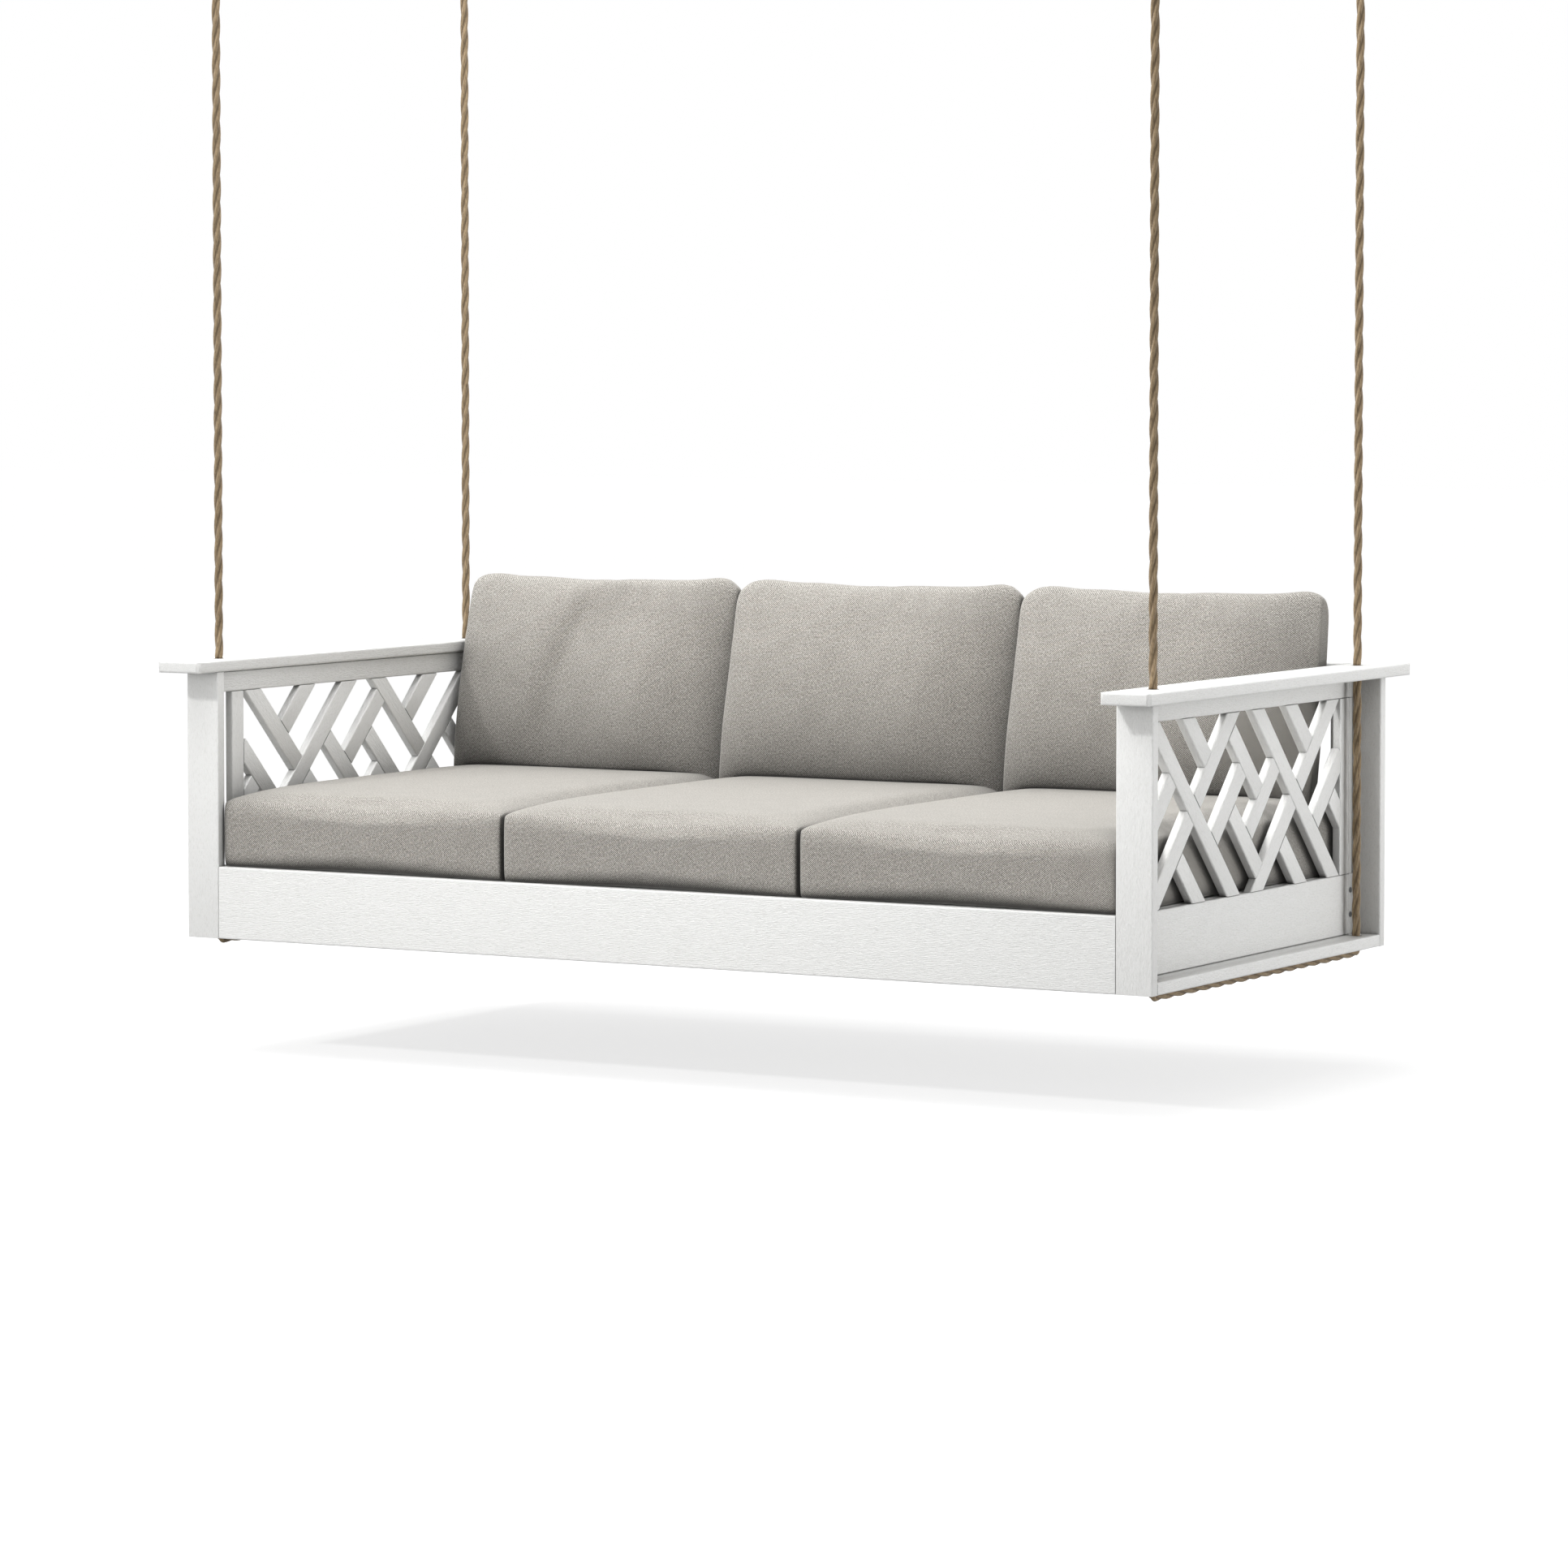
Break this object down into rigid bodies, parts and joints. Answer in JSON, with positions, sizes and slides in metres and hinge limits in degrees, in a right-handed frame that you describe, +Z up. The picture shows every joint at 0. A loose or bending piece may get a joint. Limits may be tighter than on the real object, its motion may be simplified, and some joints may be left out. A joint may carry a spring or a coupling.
{
  "type": "hanging swing bed",
  "caption": "Hanging daybed: slatted deck on board frame, woven lattice sides and back, flat arms, loose seat and back cushions, slung on ropes from swivelling ceiling hangers.",
  "frame": {"origin": "middle of the four ceiling studs, on the ceiling plane", "axes": "+X along the length of the bed, to the right when facing its open front; +Y from the open front to the back; +Z up into the ceiling"},
  "size_m": [2.048, 1.09, 2.1703],
  "materials": {
    "white_board_outer": "embossed satin",
    "white_board_inner": "embossed satin",
    "woven_fabric": "woven matte",
    "rope": "twisted matte",
    "hanger_steel": "satin",
    "pin_steel": "satin"
  },
  "bodies": {
    "root": {"hangers": "hanger_steel", "hanger_pins": "pin_steel"},
    "link_front_left": {"link_front_left": "hanger_steel", "link_pin_front_left": "pin_steel"},
    "link_front_right": {"link_front_right": "hanger_steel", "link_pin_front_right": "pin_steel"},
    "link_back_left": {"link_back_left": "hanger_steel", "link_pin_back_left": "pin_steel"},
    "link_back_right": {"link_back_right": "hanger_steel", "link_pin_back_right": "pin_steel"},
    "rope_front_left": {"thimble_front_left": "hanger_steel", "rope_eye_front_left": "rope", "rope_front_left": "rope"},
    "rope_front_right": {"thimble_front_right": "hanger_steel", "rope_eye_front_right": "rope", "rope_front_right": "rope"},
    "rope_back_left": {"thimble_back_left": "hanger_steel", "rope_eye_back_left": "rope", "rope_back_left": "rope"},
    "rope_back_right": {"thimble_back_right": "hanger_steel", "rope_eye_back_right": "rope", "rope_back_right": "rope"},
    "neck": {"rope_bend_front_left": "rope"},
    "bed": {"rope_bends": "rope", "sling_left": "rope", "sling_right": "rope", "post_front_left": "white_board_outer", "post_front_right": "white_board_outer", "post_back_left": "white_board_outer", "post_back_right": "white_board_outer", "arm_left": "white_board_outer", "arm_right": "white_board_outer", "back_cap": "white_board_outer", "cap_cleat": "white_board_inner", "side_top_rail_left": "white_board_inner", "side_top_rail_right": "white_board_inner", "side_lattice_left": "white_board_inner", "side_lattice_right": "white_board_inner", "back_top_rail": "white_board_inner", "back_lattice": "white_board_inner", "bottom_board_left": "white_board_inner", "bottom_board_right": "white_board_inner", "front_apron": "white_board_outer", "back_apron": "white_board_outer", "side_apron_left": "white_board_inner", "side_apron_right": "white_board_inner", "front_rail": "white_board_inner", "back_rail": "white_board_inner", "frame_blocks": "white_board_inner", "slat_cleats": "white_board_inner", "deck_beam": "white_board_inner", "seat_slats": "white_board_inner", "frame_screws": "pin_steel", "seat_cushion_left": "woven_fabric", "seat_cushion_middle": "woven_fabric", "seat_cushion_right": "woven_fabric", "back_cushion_left": "woven_fabric", "back_cushion_middle": "woven_fabric", "back_cushion_right": "woven_fabric"}
  },
  "joints": [
    {"name": "swing_front_left", "type": "hinge", "parent": "root", "child": "link_front_left", "pos_m": [-0.97, -0.423, -0.04], "axis": [1, 0, 0], "range_deg": [-15, 15]},
    {"name": "swing_front_right", "type": "hinge", "parent": "root", "child": "link_front_right", "pos_m": [0.97, -0.423, -0.04], "axis": [1, 0, 0], "range_deg": [-15, 15]},
    {"name": "swing_back_left", "type": "hinge", "parent": "root", "child": "link_back_left", "pos_m": [-0.97, 0.423, -0.04], "axis": [1, 0, 0], "range_deg": [-15, 15]},
    {"name": "swing_back_right", "type": "hinge", "parent": "root", "child": "link_back_right", "pos_m": [0.97, 0.423, -0.04], "axis": [1, 0, 0], "range_deg": [-15, 15]},
    {"name": "sway_front_left", "type": "hinge", "parent": "link_front_left", "child": "rope_front_left", "pos_m": [-0.97, -0.423, -0.104], "axis": [0, 1, 0], "range_deg": [-6, 6]},
    {"name": "sway_front_right", "type": "hinge", "parent": "link_front_right", "child": "rope_front_right", "pos_m": [0.97, -0.423, -0.104], "axis": [0, 1, 0], "range_deg": [-6, 6]},
    {"name": "sway_back_left", "type": "hinge", "parent": "link_back_left", "child": "rope_back_left", "pos_m": [-0.97, 0.423, -0.104], "axis": [0, 1, 0], "range_deg": [-6, 6]},
    {"name": "sway_back_right", "type": "hinge", "parent": "link_back_right", "child": "rope_back_right", "pos_m": [0.97, 0.423, -0.104], "axis": [0, 1, 0], "range_deg": [-6, 6]},
    {"name": "neck_sway", "type": "hinge", "parent": "rope_front_left", "child": "neck", "pos_m": [-0.97, -0.423, -1.566], "axis": [0, 1, 0], "range_deg": [-6, 6]},
    {"name": "bed_swing", "type": "hinge", "parent": "neck", "child": "bed", "pos_m": [-0.97, -0.423, -1.566], "axis": [1, 0, 0], "range_deg": [-15, 15]}
  ],
  "couplings": [
    {"joint": "swing_front_right", "follows": "swing_front_left", "ratio": 1},
    {"joint": "swing_back_left", "follows": "swing_front_left", "ratio": 1},
    {"joint": "swing_back_right", "follows": "swing_front_left", "ratio": 1},
    {"joint": "bed_swing", "follows": "swing_front_left", "ratio": -1},
    {"joint": "sway_front_right", "follows": "sway_front_left", "ratio": 1},
    {"joint": "sway_back_left", "follows": "sway_front_left", "ratio": 1},
    {"joint": "sway_back_right", "follows": "sway_front_left", "ratio": 1},
    {"joint": "neck_sway", "follows": "sway_front_left", "ratio": -1}
  ]
}
